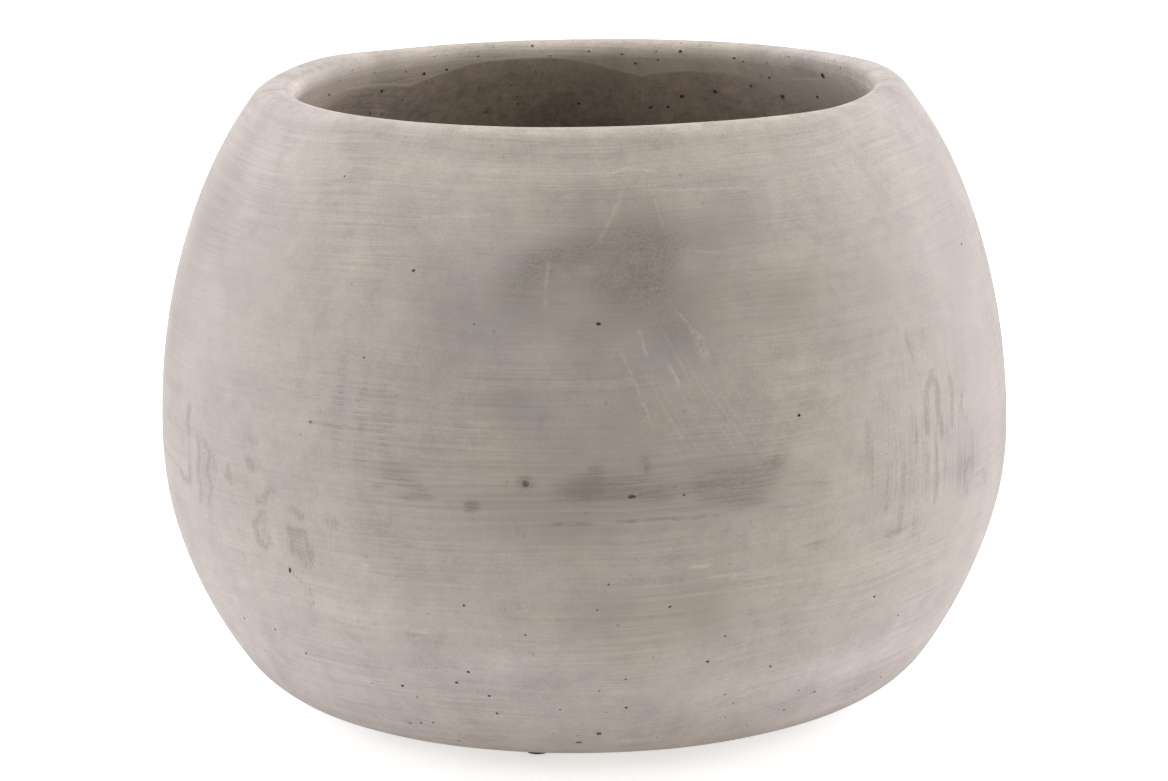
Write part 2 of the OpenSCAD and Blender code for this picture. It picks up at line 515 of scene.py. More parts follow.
# Smaller ones: azimuth, height and width.
small_holes = [
    (-104.4, 159.4, 0.7), (-119.7, 146.6, 0.7), (-129.3, 201.5, 0.7), (-21.1, 167.5, 0.9),
    (-139.9, 45.2, 0.8), (-134.7, 38.6, 0.9), (-106.1, 66.1, 0.9), (-119.9, 16.1, 0.9),
    (-117.6, 17.0, 1.0), (-115.3, 17.7, 0.9), (-77.7, 103.9, 0.7), (-87.2, 74.3, 0.7),
    (-79.2, 65.3, 0.8), (-88.7, 65.3, 0.6), (-98.2, 56.0, 0.8), (-86.0, 59.5, 0.6),
    (-71.2, 52.6, 0.8), (-63.1, 38.2, 0.9), (-84.7, 38.6, 0.8), (-84.4, 27.0, 0.9),
    (-88.4, 34.3, 0.6), (-69.4, 29.1, 0.8), (-40.3, 47.0, 0.8), (-41.7, 18.6, 0.8),
    (-52.5, 23.3, 0.9), (-57.3, 18.0, 0.8),
]
# Holes on the lip's inner edge, above the coat: azimuth, height, width and depth.
lip_holes = [
    (55.9, 213.5, 1.4, 1.1), (81.1, 213.5, 1.2, 0.9), (99.8, 217.9, 1.2, 0.9),
    (111.7, 214.5, 1.0, 0.8), (118.5, 209.7, 1.2, 1.0), (78.3, 209.7, 1.2, 0.9),
    (73.4, 211.2, 1.0, 0.8), (53.7, 212.2, 1.0, 0.8), (31.1, 210.5, 2.4, 1.6),
    (123.8, 208.9, 1.8, 1.2), (48.2, 207.1, 1.2, 0.9), (96.2, 212.8, 1.3, 1.0),
    (150.2, 206.9, 1.5, 1.1), (68.4, 215.7, 1.6, 1.0), (23.8, 216.6, 1.0, 0.8),
    (88.0, 215.2, 1.1, 0.8), (73.7, 215.4, 0.9, 0.7),
]
print("larger:", len(large_holes), "smaller:", len(small_holes), "on the lip:", len(lip_holes))


# %% Cut the air holes
def bore(level_at, azimuth, height, width, depth, *shape):
    """Cuts an air hole of the bowl, its place and size given in degrees and mm."""
    return bowl.hole(math.radians(azimuth), level_at(height * MM), width * MM, depth * MM, *shape)


cut = 0
for azimuth, height, width, depth, stretch, *tilt in large_holes:
    cut += bore(outside_at, azimuth, height, width, depth, stretch, *np.radians(tilt))
for azimuth, height, width in small_holes:
    stretch = bowl.random.uniform(1.0, 1.5)
    cut += bore(outside_at, azimuth, height, width, USUAL_DEPTH * width, stretch)
for place in lip_holes:
    cut += bore(inside_at, *place)
print("holes cut:", cut)

# %% Pinholes
# None is put this near the grid's seam, in radians.
SEAM = 0.05


def scatter(skin, count, low, high, widths):
    """Cuts small holes at random between two distances along the profile."""
    done = 0
    for _ in range(count):
        azimuth = skin.random.uniform(-math.pi + SEAM, math.pi - SEAM)
        distance = skin.random.uniform(low, high)
        width = skin.random.uniform(*widths) * MM
        depth = width * skin.random.uniform(0.6, 0.9)
        done += skin.hole(azimuth, distance, width, depth, skin.random.uniform(0.85, 1.4))
    return done


# Most lie near the foot, where the mortar was poured first, and on the lip.
pinholes = scatter(bowl, 150, ends["underside"] + 4 * MM, outside_at(34 * MM), (0.3, 0.75))
pinholes += scatter(bowl, 30, outside_at(34 * MM), outside_at(75 * MM), (0.3, 0.5))
pinholes += scatter(bowl, 12, outside_at(75 * MM), ends["shoulder"], (0.3, 0.5))
pinholes += scatter(bowl, 120, ends["lip outside"], ends["lip inside"] + 8 * MM, (0.4, 0.9))
print("pinholes cut:", pinholes)

# %% Build the bowl
bowl.fill()
bowl.close(0, 0.0)
bowl.close(len(bowl_rows) - 1, ends["floor"])
bowl_piece, bowl_azimuth, bowl_distance = bowl.mesh("bowl_body")
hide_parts("concrete_bowl")
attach(bowl_piece, "root")
triangles = sum(len(p.vertices) - 2 for p in bowl_piece.data.polygons)
print("bowl:", len(bowl_piece.data.vertices), "vertices,", triangles, "triangles")

# %% [markdown]
# ## The waterproof coat
#
# Inside, a cement-based coat was brushed on up to a finger's width below the lip. Its edge is a
# row of rounded dabs, each the width of a few strokes. A colour change alone would be flat, so
# the coat is a thin skin of its own that lies on the wall, thins out towards its edge and
# carries the ridges that bristles leave.

# %% The coat's edge
# Each dab is (azimuth, half of the angle that it spans), in degrees.
dabs = [
    (102, 25), (63, 16), (30, 19), (-8, 20), (-50, 24), (-97, 25), (-143, 23), (174, 22), (140, 15),
]
coat_drop = 14 * MM
dab_r = 120 * MM
bristle_mark = 0.12 * MM
edge_low_z = top_z - coat_drop
edge_r = float(np.interp(inside_at(edge_low_z), along, profile[0]))


def coat_edge(azimuth):
    """Height of the coat's edge."""
    height = np.full(np.shape(azimuth), edge_low_z)
    for centre, half_span in dabs:
        turned = np.radians(turned_by(azimuth, centre))
        aside = edge_r * np.sin(np.clip(turned, -quarter, quarter))
        half_w = edge_r * math.sin(math.radians(half_span))
        dome = edge_low_z - reach(dab_r, half_w) + np.sqrt(dab_r**2 - aside**2)
        height = np.where(np.abs(turned) < quarter, np.maximum(height, dome), height)
    bristles = np.sin(61 * azimuth) * np.sin(23 * azimuth + 1) + 0.5 * np.sin(97 * azimuth)
    return height + bristle_mark * (bristles - 1)


heights = coat_edge(np.radians(np.arange(360.0))) / MM
print("the edge lies from", round(heights.min(), 1), "to", round(heights.max(), 1), "mm")

# %% Thickness and places of the coat
coat_t = 0.6 * MM
# At the edge this share of the thickness is left, and the back lies a little inside the wall.
EDGE_SHARE = 0.12
EDGE_SLOPE = 7 * MM
BACK_LIFT = -0.02 * MM
coat_length = ends["floor"] - inside_at(edge_low_z)


def coat_thickness(azimuth, distance):
    """How thick the coat lies at a distance from its edge: thin there, and ridged by bristles."""
    from_edge = np.clip(np.abs(distance) / EDGE_SLOPE, 0, 1)
    ridges = np.sin(140 * azimuth + 300 * distance) * np.sin(37 * azimuth - 55 * distance)
    return coat_t * (0.78 + 0.2 * ridges) * (EDGE_SHARE + (1 - EDGE_SHARE) * from_edge)


def coat_point(azimuth, distance, lift=0.0):
    """A place on the coat: below 0 on its back, above 0 on its face, 0 at its edge."""
    azimuth, distance, lift = np.broadcast_arrays(azimuth, distance, lift)
    share = np.abs(distance) / coat_length
    start = inside_at(coat_edge(azimuth))
    along_wall = start + share * (ends["floor"] - start)
    raised = np.where(distance < 0, BACK_LIFT, coat_thickness(azimuth, distance)) + lift
    return skin_point(azimuth, along_wall, raised)


print("the coat is", round(float(coat_length) / MM), "mm long from its edge to the axis")

# %% Grid of the coat
COAT_COLUMN = 2.4 * MM / belly_r
coat_columns = spaced([(-math.pi, math.pi - COAT_COLUMN, COAT_COLUMN)])
last_row = coat_length - 6 * MM
back_rows = -spaced([(8 * MM, last_row, 5 * MM)])[::-1]
edge_rows = [-3 * MM, -0.01 * MM]
fine_rows, open_rows = (0.02 * MM, 2 * MM, 0.5 * MM), (2 * MM, 60 * MM, 2 * MM)
face_rows = spaced([fine_rows, open_rows, (60 * MM, last_row, 4 * MM)])
coat_rows = np.concatenate([back_rows, edge_rows, face_rows])
coat = Skin(coat_rows, coat_columns, coat_point, seed=5, thickness=coat_thickness)
print("coat grid:", len(coat_rows), "rows of", len(coat_columns))

# %% Holes that the coat did not bridge
# Each is (azimuth, height, width, depth), in degrees and mm.
coat_holes = [
    (46.6, 200.1, 1.9, 1.4), (62.5, 199.8, 2.0, 1.4), (69.8, 197.1, 2.0, 1.4),
    (73.1, 192.6, 1.4, 1.1), (53.7, 203.1, 1.4, 1.0), (36.2, 202.3, 1.4, 1.1),
    (90.3, 194.0, 1.4, 1.0), (108.2, 192.1, 1.3, 0.9), (99.1, 207.4, 0.9, 0.8),
    (102.3, 197.6, 0.8, 0.7), (133.4, 204.4, 1.5, 1.0), (134.2, 196.0, 1.1, 0.9),
    (127.2, 199.6, 0.9, 0.8),
]
EDGE_MARGIN = 1.5 * MM
cut = 0
for azimuth, height, width, depth in coat_holes:
    turned = math.radians(azimuth)
    from_edge = inside_at(height * MM) - inside_at(float(coat_edge(turned)))
    if from_edge > EDGE_MARGIN:
        cut += coat.hole(turned, from_edge, width * MM, depth * MM)
cut += scatter(coat, 120, 3 * MM, 180 * MM, (0.6, 1.5))
print("coat holes cut:", cut)

# %% Build the coat
# Its edge is sharp on both sides of the narrow row that joins its back to its face.
for row in (len(back_rows) + 1, len(back_rows) + 2):
    coat.rims.append([row * len(coat_columns) + c for c in range(len(coat_columns))])
coat.fill()
coat.close(0, -coat_length)
coat.close(len(coat_rows) - 1, coat_length)
coat_piece, coat_azimuth, coat_distance = coat.mesh("brushed_coat")
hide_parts("sealer_coat")
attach(coat_piece, "root")
print("coat:", len(coat_piece.data.polygons), "faces")

# %% Where the coat lies thin
# It starts thin for a millimetre or so, and on the left and the right for as many mm more as the
# third number says: (azimuth in degrees, spread in degrees, length in mm).
thin_ends = [(174, 22, 30), (16, 21, 55)]


def painted_inner_light(azimuth):
    """How much painted light the bare wall inside the lip gets: less on the right, which lies in
    shade, and more on the left.
    """
    right, left = bell(turned_by(azimuth, 32) / 27), bell(turned_by(azimuth, 172) / 24)
    return 1 - 0.88 * right + 0.8 * left


def grow(values, start, length):
    """Climbs from 0 to 1 over a length that begins at a start."""
    return np.clip((values - start) / length, 0, 1)


# The coat keeps the bare wall's painted light, for where it lies thin and the wall shows.
store(coat_piece.data, "wall", painted_inner_light(coat_azimuth))
thin_length = 1.3 * MM + round_about(coat_azimuth, thin_ends)
store(coat_piece.data, "laid", grow(coat_distance, 0, thin_length))
# Painted shade: the coat is darkened further down the wall, from 6 mm below its edge over 40 mm
# more.
store(coat_piece.data, "deep", grow(coat_distance, 6 * MM, 40 * MM))
store(coat_piece.data, "level", grow(coat_distance, coat_length - 105 * MM, 25 * MM))
print("the coat keeps:", [a.name for a in coat_piece.data.attributes if a.domain == "POINT"])

# %% [markdown]
# ## Floor and light
#
# The light is plain and soft: two wide panels, left and right, one above, and a pale surround.
# The side that faces the viewer gets the least of it, so the bowl darkens gently towards its
# middle. The floor is pale, keeps a soft shadow, and looks white to the camera.


# %% Node helpers
def add_node(tree, kind, inputs=None, **settings):
    """Adds a node. An input is set to a value, or linked where it is given a socket."""
    made = tree.nodes.new(kind)
    for name, value in settings.items():
        setattr(made, name, value)
    for key, value in (inputs or {}).items():
        if isinstance(value, bpy.types.NodeSocket):
            tree.links.new(value, made.inputs[key])
        else:
            made.inputs[key].default_value = value
    return made


def calc(tree, operation, first, second=0.0, third=0.0, clamp=False):
    """One step of arithmetic on single values."""
    made = add_node(tree, "ShaderNodeMath", {0: first, 1: second, 2: third}, operation=operation)
    made.use_clamp = clamp
    return made.outputs[0]


def times(tree, first, *others):
    """Values multiplied with each other."""
    for other in others:
        first = calc(tree, "MULTIPLY", first, other)
    return first


def layered(tree, base, *layers):
    """Adds layers to a base, each given as a value and its amount."""
    for value, amount in layers:
        base = calc(tree, "MULTIPLY_ADD", value, amount, base)
    return base


def blend(tree, amount, first, second, mode="MIX"):
    """Mixes two colours."""
    inputs = {0: amount, 6: first, 7: second}
    return add_node(tree, "ShaderNodeMix", inputs, data_type="RGBA", blend_type=mode).outputs[2]


def brighten(tree, colour, tone):
    """A colour, made lighter or darker by a tone."""
    inputs = {0: colour, "Scale": tone}
    return add_node(tree, "ShaderNodeVectorMath", inputs, operation="SCALE").outputs[0]


def ramp(tree, value, low, high, to_low=0.0, to_high=1.0):
    """Stretches a value smoothly from one span to another."""
    spans = {"From Min": low, "From Max": high, "To Min": to_low, "To Max": to_high}
    inputs = {"Value": value, **spans}
    return add_node(tree, "ShaderNodeMapRange", inputs, interpolation_type="SMOOTHSTEP").outputs[0]


print("node helpers ready")


# %% Material helpers
def object_place(tree):
    """The place on the object, in metres."""
    return add_node(tree, "ShaderNodeTexCoord").outputs["Object"]


def new_material(name):
    """A node material with nothing in it yet."""
    made = bpy.data.materials.new(name)
    made.use_nodes = True
    made.node_tree.nodes.clear()
    return made, made.node_tree


def finish_with(tree, inputs):
    """Ends a material with its surface."""
    surface = add_node(tree, "ShaderNodeBsdfPrincipled", inputs)
    add_node(tree, "ShaderNodeOutputMaterial", {"Surface": surface.outputs[0]})


print("material helpers ready")

# %% World
AMBIENT_LEVEL = 0.07
world = bpy.data.worlds.new("studio")
bpy.context.scene.world = world
world.use_nodes = True
tree = world.node_tree
tree.nodes.clear()
rays = add_node(tree, "ShaderNodeLightPath").outputs
seen = calc(tree, "MAXIMUM", rays["Is Camera Ray"], rays["Is Glossy Ray"])
seen = calc(tree, "MAXIMUM", seen, rays["Is Transmission Ray"])
strength = calc(tree, "MULTIPLY_ADD", seen, 1 - AMBIENT_LEVEL, AMBIENT_LEVEL)
sky = add_node(tree, "ShaderNodeBackground", {"Color": (1, 1, 1, 1), "Strength": strength})
add_node(tree, "ShaderNodeOutputWorld", {"Surface": sky.outputs[0]})
bpy.context.scene.view_settings.view_transform = "Standard"
print("surround at", AMBIENT_LEVEL)


# %% Light panels
def light_panel(name, place, target, width, height, level):
    """A soft rectangular panel that glows at a plain level, whatever its size."""
    data = bpy.data.lights.new(name, "AREA")
    data.shape = "RECTANGLE"
    data.size, data.size_y = width, height
    data.energy = level * math.pi * width * height
    panel = bpy.data.objects.new(name, data)
    bpy.context.scene.collection.objects.link(panel)
    panel.location = place
    panel.rotation_euler = (Vector(target) - Vector(place)).to_track_quat("-Z", "Y").to_euler()


SIDE_LEVEL, TOP_LEVEL = 3.05, 4.4
for name, x in (("panel_left", -1.05), ("panel_right", 1.05)):
    light_panel(name, (x, 0, 0.36), (0, 0.03, 0.12), 1.5, 0.9, SIDE_LEVEL)
light_panel("panel_top", (0, 0.2, 1.5), (0, 0.05, 0.15), 1.4, 1.4, TOP_LEVEL)

# %% Floor
FLOOR_HALF = 6.0
floor_mesh = bpy.data.meshes.new("floor")
corners = [(x * FLOOR_HALF, y * FLOOR_HALF, 0) for x, y in ((-1, -1), (1, -1), (1, 1), (-1, 1))]
floor_mesh.from_pydata(corners, [], [(0, 1, 2, 3)])
floor = bpy.data.objects.new("floor", floor_mesh)
bpy.context.scene.collection.objects.link(floor)
floor_material, tree = new_material("pale_floor")
rays = add_node(tree, "ShaderNodeLightPath").outputs
inputs = {0: object_place(tree)}
distance = add_node(tree, "ShaderNodeVectorMath", inputs, operation="LENGTH").outputs["Value"]
# To the camera it glows white away from the bowl, and round the foot it sends light up the wall.
white = times(tree, rays["Is Camera Ray"], ramp(tree, distance, 0.2, 0.5, 0.55, 1.0))
under = ramp(tree, distance, 0.1, 0.28, 0.35, 0.0)
glow = layered(tree, white, (rays["Is Diffuse Ray"], under))
paint = {"Base Color": (0.9, 0.9, 0.9, 1), "Roughness": 0.9}
finish_with(tree, {**paint, "Emission Color": (1, 1, 1, 1), "Emission Strength": glow})
floor.data.materials.append(floor_material)
print("floor", 2 * FLOOR_HALF, "m wide")

# %% [markdown]
# ## Where the marks are
#
# The slip was rubbed, splashed and dragged by hand, so the bowl has darker rubbed spots, pale
# washes and patches of dashes. A reader could paint these by hand. Here each mark is a soft
# ellipse on the bowl, given by its azimuth and height, and kept as a value for each vertex.
# The material then breaks each soft mark up with fine noise, so that its edge looks brushed.

# %% Soft ellipses
# How steeply an ellipse fades towards its edge and beyond.
FALL_OFF = 1.2


def spots(marks):
    """Adds up soft ellipses on the outside, each at an azimuth in degrees and a height in mm.

    A mark is (azimuth, height, half width in mm, half height in mm, strength), and the ones that
    lean end with a tilt in degrees.
    """
    total = np.zeros(len(bowl_azimuth))
    for centre, height, half_w, half_h, strength, *tilt in marks:
        x = np.radians(turned_by(bowl_azimuth, centre)) * belly_r / MM
        y = (bowl_distance - outside_at(height * MM)) / MM
        lean = math.radians(sum(tilt))
        turn, slide = math.cos(lean), math.sin(lean)
        u, v = (x * turn + y * slide) / half_w, (y * turn - x * slide) / half_h
        total += strength * np.exp(-FALL_OFF * (u * u + v * v))
    return total * (bowl_distance < ends["lip inside"])


bowl_height = np.interp(bowl_distance, along, profile[1]) / MM
print("marks are painted on", len(bowl_height), "vertices")

# %% Marks at random behind, and a store for what is painted
behind = random.Random(21)


def more_marks(count, half_w, half_h, strength):
    """Soft ellipses at random on the side that the camera doesn't see."""
    spans = [(12, 168), (30, 200), half_w, half_h, strength, (-20, 20)]
    return [[behind.uniform(*span) for span in spans] for _ in range(count)]


def keep(name, values):
    """Stores a value for each of the bowl's vertices and says how far it reaches."""
    store(bowl_piece.data, name, values)
    print(name, "from", round(float(values.min()), 2), "to", round(float(values.max()), 2))


print("marks are kept under their name")

# %% Clouds that are darker than the rest
shade_marks = [
    (-98.5, 176, 11, 8, 0.5, 40), (-94.4, 180.5, 12, 7, 0.55, 10), (-90, 183.5, 13, 6, 0.5, 15),
    (-84.6, 185, 13, 7, 0.55, 5), (-80, 187.5, 13, 8, 0.6), (-79.8, 178, 11, 9, 0.55),
    (-80.4, 168, 14, 11, 0.5), (-86, 173, 15, 9, 0.6), (-98, 169, 12, 10, 0.4),
    (-70, 187, 17, 8, 0.45, 8), (-74.5, 181, 11, 8, 0.25), (-158, 205, 15, 14, 0.45),
    (-25, 165, 18, 14, 0.18), (-30, 98, 18, 14, 0.15), (-148, 165, 22, 10, 0.18),
    (-156, 180, 10, 12, 0.2), (-166, 135, 8, 12, 0.25), (-150, 94, 14, 10, 0.25),
    (-75, 70, 13, 12, 0.4), (-92, 96, 22, 12, 0.2), (-95, 14, 9, 6, 0.25),
    (-30.5, 95.5, 10, 9, 0.45), (-70, 106, 17, 9, 0.2), (-113.5, 107.5, 12, 6, 0.35),
    (-86, 174, 40, 22, 0.25, 6), (-84, 165, 50, 30, 0.25), (-62, 164, 16, 8, 0.5, 10),
    (-99.3, 137, 10, 9, 0.4), (-77.6, 155.6, 9, 7, 0.6), (-106, 160, 18, 10, 0.2),
    (-92, 108, 52, 11, 0.36), (-74, 107, 32, 10, 0.4), (-88, 122, 22, 10, 0.25),
    (-93, 96, 42, 9, 0.3), (-86, 62, 18, 14, 0.5), (-50, 150, 20, 22, 0.15),
    # The two large marks at (-164, 150) and (-160, 180) are painted shade: they darken the left
    # side towards its outline.
    (-164, 150, 26, 80, 0.5), (-160, 180, 22, 24, 0.3), (-75, 60, 14, 9, 0.5),
    (-45, 165, 12, 12, 0.35), (-70, 107, 13, 8, 0.35),
]
shade_marks += more_marks(14, (10, 34), (6, 16), (0.2, 0.6))
keep("shade", spots(shade_marks))

# %% Washes that are paler than the rest, and a painted highlight on the front of the lip
pale_marks = [
    (-112, 190, 44, 15, 1.0), (-92, 208, 60, 9, 1.1), (-100, 196, 36, 10, 0.4),
    (-57, 198, 26, 10, 0.8), (-28, 205, 30, 12, 0.4), (-115, 165, 9, 10, 1.1),
    (-125, 150, 14, 12, 0.6), (-125, 90, 10, 9, 0.7), (-100, 45, 22, 7, 0.8), (-90, 165, 9, 6, 0.6),
    (-89.5, 176.2, 3.5, 2.2, 0.8, 10), (-92.5, 174.5, 2.5, 2, 0.6), (-75, 177.3, 4, 4, 0.5),
    # (-99.2, 216.9) is a painted highlight: a cream band on the front of the lip.
    (-82.3, 180.2, 3, 3, 0.3), (-62, 140, 18, 9, 0.6), (-99.2, 216.9, 9, 1.5, 0.4),
    (-84.3, 11.3, 6, 2.5, 0.5), (-123, 78, 20, 9, 0.6), (-122, 61, 30, 12, 1.1),
    (-55, 92, 9, 12, 0.5), (-114.6, 41, 38, 5, 0.35), (-50, 30, 62, 11, 1.2),
    (-119.4, 76.7, 1.4, 1.2, 1.2), (-110, 207, 34, 10, 0.65), (-86, 211, 12, 5, 0.5),
    (-125, 186, 12, 14, 0.5), (-100, 181, 15, 10, 0.75), (-75.5, 179, 8, 8, 0.5),
    (-115, 152, 12, 10, 0.5), (-95, 150, 9, 8, 0.5), (-112, 128, 20, 10, 0.35),
    (-115, 104, 9, 8, 0.4), (-63, 107, 10, 8, 0.3), (-145, 58, 12, 8, 0.4), (-45, 13, 40, 7, 0.85),
    (-24, 30, 14, 10, 0.4), (-56, 136, 9, 9, 0.35),
]
pale_marks += more_marks(12, (8, 30), (5, 14), (0.3, 0.9))
keep("pale", spots(pale_marks))

# %% Olive and lilac patches
# Above 0 is the olive grey and below 0 the lilac grey.
tint_marks = [
    (-99.8, 104.3, 9, 13, 0.8), (-90.2, 85, 8, 5, 0.8), (-83.2, 116, 9, 6, 0.6),
    (-84.6, 47.4, 13, 6, 0.8), (-75.7, 60, 11, 9, 0.8, 15), (-80.4, 168, 9, 8, 0.8),
    (-98, 193, 6, 7, 0.6), (-73, 165, 9, 8, 0.7), (-96, 165.5, 5, 6, 0.5), (-102, 127, 8, 6, 0.5),
    (-81, 131, 12, 12, 0.6), (-58, 110, 16, 40, 0.5), (-60, 160, 12, 30, 0.5),
    # (-99.2, 217) gives the front lip's painted highlight its cream colour.
    (-31.7, 40, 13, 12, 0.6), (-99.2, 217, 10, 2, 0.9), (-114.6, 41, 36, 5, -0.9),
    (-84, 87, 13, 9, -0.7), (-104, 91, 8, 7, -0.6), (-94, 106, 8, 8, -0.3), (-66, 197, 20, 9, -0.6),
    (-79, 150, 13, 10, -0.7), (-92, 173, 10, 6, -0.5), (-54, 152, 8, 10, -0.8),
    (-53, 92, 6, 9, -0.6), (-150, 80, 14, 20, -0.6), (-28, 140, 14, 40, -0.4),
    (-108, 195, 14, 10, -0.4), (-112, 66, 42, 22, -0.9), (-98, 46, 40, 12, -0.5),
    (-108, 150, 22, 14, -0.6), (-112, 120, 30, 30, -0.4), (-108, 178, 22, 14, -0.4),
    (-62, 190, 24, 16, -0.6), (-79, 60.6, 16, 10, 0.7, 15), (-104, 186, 18, 16, -0.5),
    (-97, 158, 28, 14, -0.7), (-95, 143, 26, 12, -0.5), (-83.5, 184, 15, 12, 1.0),
]
tint_marks += more_marks(12, (8, 24), (6, 16), (0.4, 0.9))
tint_marks += more_marks(8, (8, 24), (6, 16), (-0.9, -0.5))
tint = 0.7 * spots(tint_marks) + 0.5
# The middle of the front is olive, and the sides, which turn away from the front, are lilac: partly
# the slip's own colour and partly a painted sheen. So is the foot, but for its edge.
aside = np.abs(turned_by(bowl_azimuth, -86))
tint -= 1.5 * grow(aside, 22, 45) * np.clip((160 - aside) / 50, 0.2, 1)
foot_tint = 0.7 * bell((bowl_height - 4) / 9) - 0.9 * (1 - grow(bowl_height, 30, 30))
tint += foot_tint * (bowl_distance < ends["flank"])
tint += 0.9 * grow(bowl_distance, ends["lip outside"], 12 * MM)
keep("tint", tint)

# %% Where the brushwork is calm
calm_marks = [(-30, 140, 75, 90, 0.75), (-88, 172, 70, 32, 0.8), (-145, 130, 60, 70, 0.6)]
over_lip = grow(bowl_distance, ends["shoulder"], 8 * MM)
keep("calm", np.clip(spots(calm_marks) + over_lip, 0, 1))
smooth_marks = [(-22, 130, 62, 105, 1.0), (-145, 160, 55, 70, 0.55)]
smooth = np.clip(spots(smooth_marks), 0, 1)
keep("rough", 1 - 0.45 * smooth + 0.9 * over_lip)

# %% Rubbed spots
stain_marks = [
    (-90.4, 107.1, 10, 4.8, 0.95), (-85, 106.6, 17, 5.5, 0.65), (-88.7, 113.2, 3, 2, 0.8),
    (-81, 104.3, 7, 2, 0.65), (-70.5, 106.5, 17, 9, 0.42, 8), (-66, 109.5, 8, 5, 0.2, 20),
    (-75.3, 106.3, 6, 5, 0.35), (-65.5, 112, 4, 2.4, 0.5, 20), (-76.2, 113.2, 3, 1, 0.7),
    (-69.4, 99, 8, 2.6, 0.4), (-97.5, 108.7, 3.6, 2.8, 0.9), (-104.3, 101.1, 3.1, 1.8, 1.8),
    (-103.8, 96.7, 1.8, 0.8, 0.5), (-114.2, 110, 8.5, 5.5, 0.6), (-110.8, 104.8, 5, 2.4, 0.7, -20),
    (-117, 104.3, 2, 1.2, 0.8), (-90.7, 93.4, 3, 1.5, 0.3), (-112.9, 86.2, 2.7, 0.9, 0.7),
    (-59.4, 81.8, 5.4, 1.3, 0.9), (-57.4, 49.2, 2.5, 2, 0.6), (-23.2, 88.6, 5, 2.2, 0.5),
    (-46.4, 80.6, 4.6, 1.5, 0.6), (-137, 82.6, 4, 6.5, 0.4), (-130.2, 81.4, 4, 5, 0.5),
    (-150, 98, 6, 14, 0.25), (-112.5, 102.6, 8, 1.6, 0.7), (-29.5, 94.5, 8, 7, 0.3),
]
stain_marks += more_marks(9, (3, 11), (1.5, 5), (0.35, 0.8))
scuffed = bell(turned_by(bowl_azimuth, 131) / 9) * bell((bowl_height - 208) / 2.2)
scuffed = scuffed * (bowl_distance > ends["lip inside"])
keep("stain", spots(stain_marks) + 0.6 * scuffed)

# %% Where cloth, a brush and a board left their pattern
weave_marks = [
    (-122, 134, 22, 14, 0.8), (-117, 137, 8, 4.5, 0.6), (-117.2, 122, 17, 9, 0.6),
    (-122.5, 110, 12, 10, 0.35), (-30.5, 95.5, 9, 8, 0.5),
]
fan_marks = [
    (-77, 152, 12, 14, 0.8), (-80, 136, 15, 16, 0.9), (-72, 128, 18, 18, 0.9),
    (-67, 112, 14, 10, 0.6),
]
board_marks = [(-39, 104, 34, 30, 1.1), (-40, 136, 15, 12, 0.6), (-31, 97, 11, 9, 1.1)]
for name, marks in (("weave", weave_marks), ("fan", fan_marks), ("board", board_marks)):
    keep(name, spots(marks))

# %% [markdown]
# ## Strokes and scratches
#
# A thin scratch is narrower than a face of the mesh, so its colour can't be stored as it is.
# But the distance to it can: it changes evenly from vertex to vertex, and it is zero exactly
# on the line. Each vertex keeps on which side of the nearest stroke it lies, how far from it,
# and how strong that stroke is, and the material draws a line where the distance is small.

# %% Distance to each leg of a stroke
# A stroke's strength is kept up to a distance in mm and fades over the last part of it. Farther
# away, a vertex counts as this many half widths to one side.
REACHED, FADE = 2.9, 1.2
FAR_SIDE = 9.0
unrolled = np.stack([bowl_azimuth * belly_r, bowl_distance], axis=-1) / MM


def legs(path):
    """For each leg of a path, how far each vertex is from it, and how far to which side, in mm."""
    turns = [(math.radians(a) * belly_r / MM, float(outside_at(h * MM)) / MM) for a, h in path]
    for start, end in zip(turns[:-1], turns[1:]):
        run = np.subtract(end, start)
        gone = unrolled - start
        share = np.clip(gone @ run / (run @ run), 0, 1)
        away = np.hypot(*(gone - share[:, None] * run).T)
        yield away, (run[0] * gone[:, 1] - run[1] * gone[:, 0]) / math.hypot(*run)


print("strokes fade out", REACHED, "mm from their line")


# %% The nearest stroke and the darkest smear
def nearest_stroke(strokes):
    """For each vertex the signed distance in half widths, and the stroke's strength there."""
    closest, near = np.full(len(unrolled), np.inf), np.zeros(len(unrolled))
    side = np.full(len(unrolled), FAR_SIDE)
    for width, strength, path in strokes:
        for away, across in legs(path):
            nearer = away < closest
            closest = np.where(nearer, away, closest)
            side = np.where(nearer, across / (width / 2), side)
            near = np.where(nearer, strength * np.clip((REACHED - away) / FADE, 0, 1), near)
    return np.clip(side, -FAR_SIDE, FAR_SIDE), near * (bowl_distance < ends["lip inside"])


def darkest_smear(strokes):
    """For each vertex how dark the darkest soft smear there is: its strength on its middle line."""
    darkest = np.zeros(len(unrolled))
    for half_width, strength, path in strokes:
        for away, _ in legs(path):
            darkest = np.maximum(darkest, strength * bell(away / (1.3 * half_width)))
    return darkest * (bowl_distance < ends["lip inside"])


print("the nearest stroke and the darkest smear can be found")

